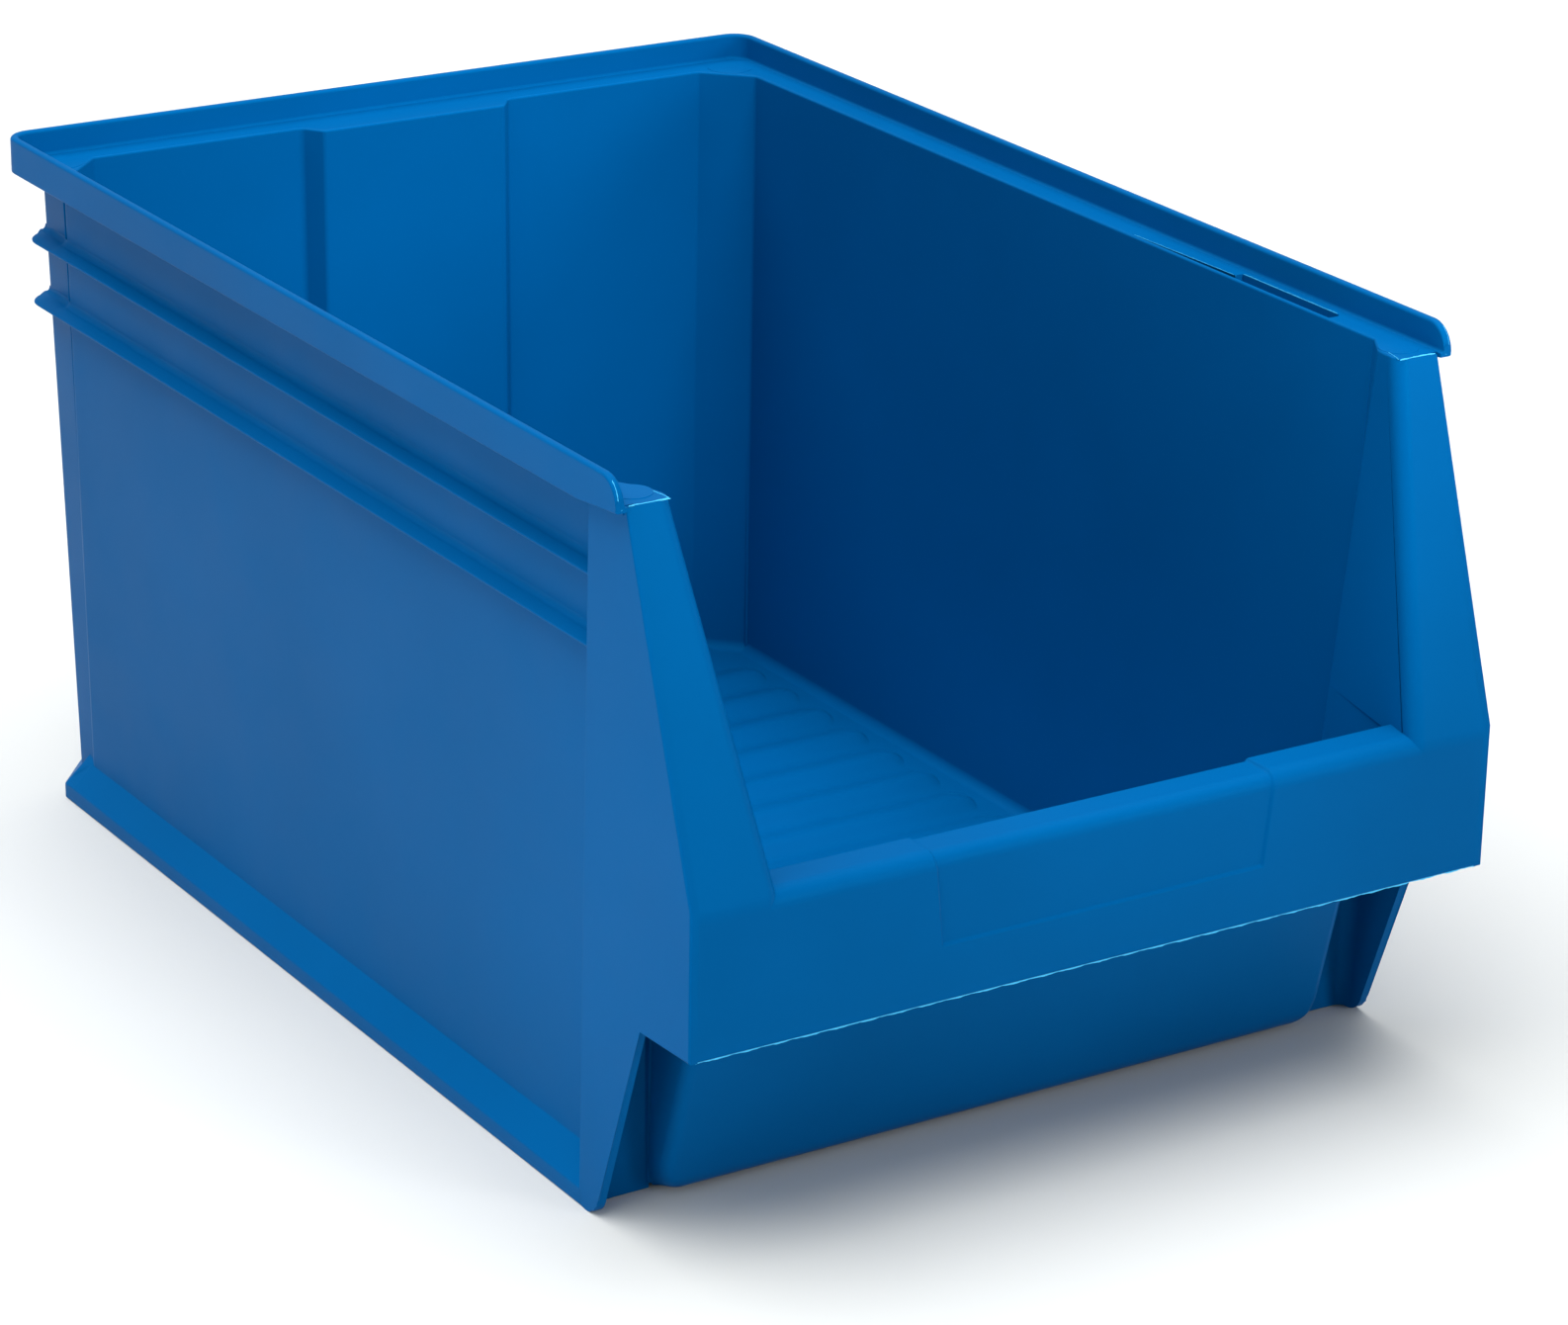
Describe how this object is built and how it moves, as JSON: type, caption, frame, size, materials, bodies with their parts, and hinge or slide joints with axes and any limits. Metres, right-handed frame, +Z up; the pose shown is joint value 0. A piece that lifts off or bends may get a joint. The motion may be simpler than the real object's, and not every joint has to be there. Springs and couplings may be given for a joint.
{
  "type": "stackable storage bin",
  "caption": "Open-front stackable storage bin in one-piece blue plastic, with a stacking rim, ribbed walls, sloping front posts and a label recess.",
  "frame": {"origin": "centre of the bin's outline on the ground", "axes": "+Z up, X across the width, -Y towards the open front"},
  "size_m": [0.33, 0.5, 0.264],
  "materials": {
    "blue_plastic": "satin moulded polypropylene"
  },
  "bodies": {
    "root": {"floor_panel": "blue_plastic", "floor_waves": "blue_plastic", "side_wall_left": "blue_plastic", "side_wall_right": "blue_plastic", "back_wall_left": "blue_plastic", "back_wall_right": "blue_plastic", "back_step_left": "blue_plastic", "back_step_right": "blue_plastic", "back_field": "blue_plastic", "back_corner_web_left": "blue_plastic", "back_corner_web_right": "blue_plastic", "back_corner_column_left": "blue_plastic", "back_corner_column_right": "blue_plastic", "ledge_left": "blue_plastic", "ledge_right": "blue_plastic", "ledge_back": "blue_plastic", "rim_left": "blue_plastic", "rim_right": "blue_plastic", "rim_back": "blue_plastic", "upper_rib_left": "blue_plastic", "upper_rib_right": "blue_plastic", "upper_rib_back": "blue_plastic", "lower_rib_left": "blue_plastic", "lower_rib_right": "blue_plastic", "lower_rib_back": "blue_plastic", "base_skirt_left": "blue_plastic", "base_skirt_right": "blue_plastic", "base_skirt_back": "blue_plastic", "post_plate_left": "blue_plastic", "post_plate_right": "blue_plastic", "post_face_left": "blue_plastic", "post_face_right": "blue_plastic", "post_inner_wall_left": "blue_plastic", "post_inner_wall_right": "blue_plastic", "trough_wall": "blue_plastic", "apron": "blue_plastic", "apron_roll": "blue_plastic"}
  },
  "joints": []
}
